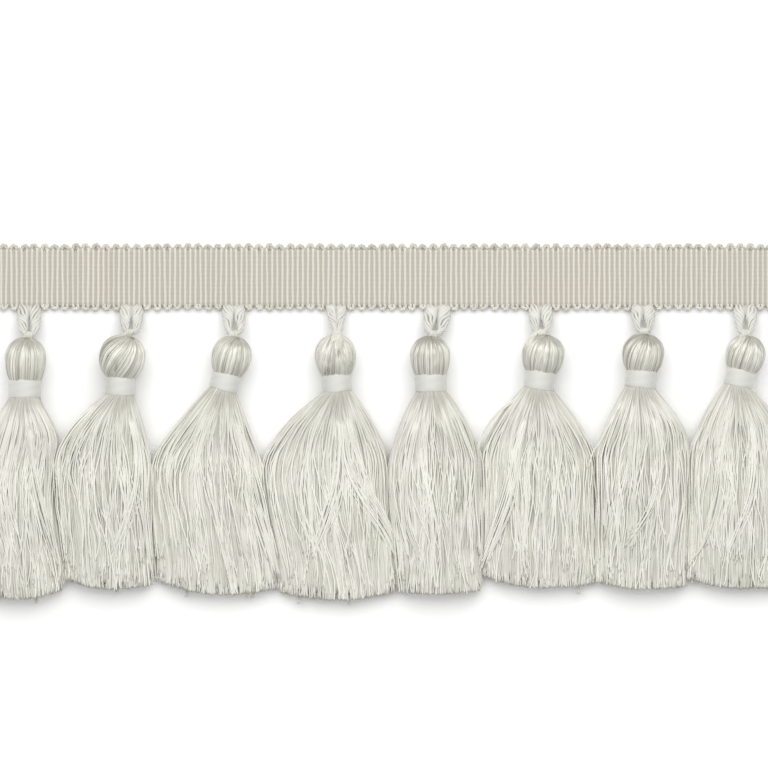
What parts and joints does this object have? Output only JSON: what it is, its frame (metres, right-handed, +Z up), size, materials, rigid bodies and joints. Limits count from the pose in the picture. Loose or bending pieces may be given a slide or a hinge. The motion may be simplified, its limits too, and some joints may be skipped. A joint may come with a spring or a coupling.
{
  "type": "tassel fringe trim",
  "caption": "Cream furnishing trim: a ribbed picot-edged braid with floss tassels hung from short twisted loops, lying face up.",
  "frame": {"origin": "on the braid's flat back, at the middle of its length and width", "axes": "+X along the braid, +Y across it away from the tassels, which point to -Y, +Z up out of the braid's face"},
  "size_m": [0.2048, 0.0902, 0.0113],
  "materials": {
    "ribbed_braid": "ribbed woven cream braid, soft sheen on each rib",
    "loop_cord": "twisted cream cord",
    "floss": "silky cream floss, bright sheen along the threads",
    "neck_band": "fine white thread wound smooth"
  },
  "bodies": {
    "root": {"heading": "ribbed_braid", "loop_1": "loop_cord", "loop_2": "loop_cord", "loop_3": "loop_cord", "loop_4": "loop_cord", "loop_5": "loop_cord", "loop_6": "loop_cord", "loop_7": "loop_cord", "loop_8": "loop_cord", "tassel_1": "floss", "tassel_2": "floss", "tassel_3": "floss", "tassel_4": "floss", "tassel_5": "floss", "tassel_6": "floss", "tassel_7": "floss", "tassel_8": "floss", "wrap_1": "neck_band", "wrap_2": "neck_band", "wrap_3": "neck_band", "wrap_4": "neck_band", "wrap_5": "neck_band", "wrap_6": "neck_band", "wrap_7": "neck_band", "wrap_8": "neck_band"}
  },
  "joints": []
}
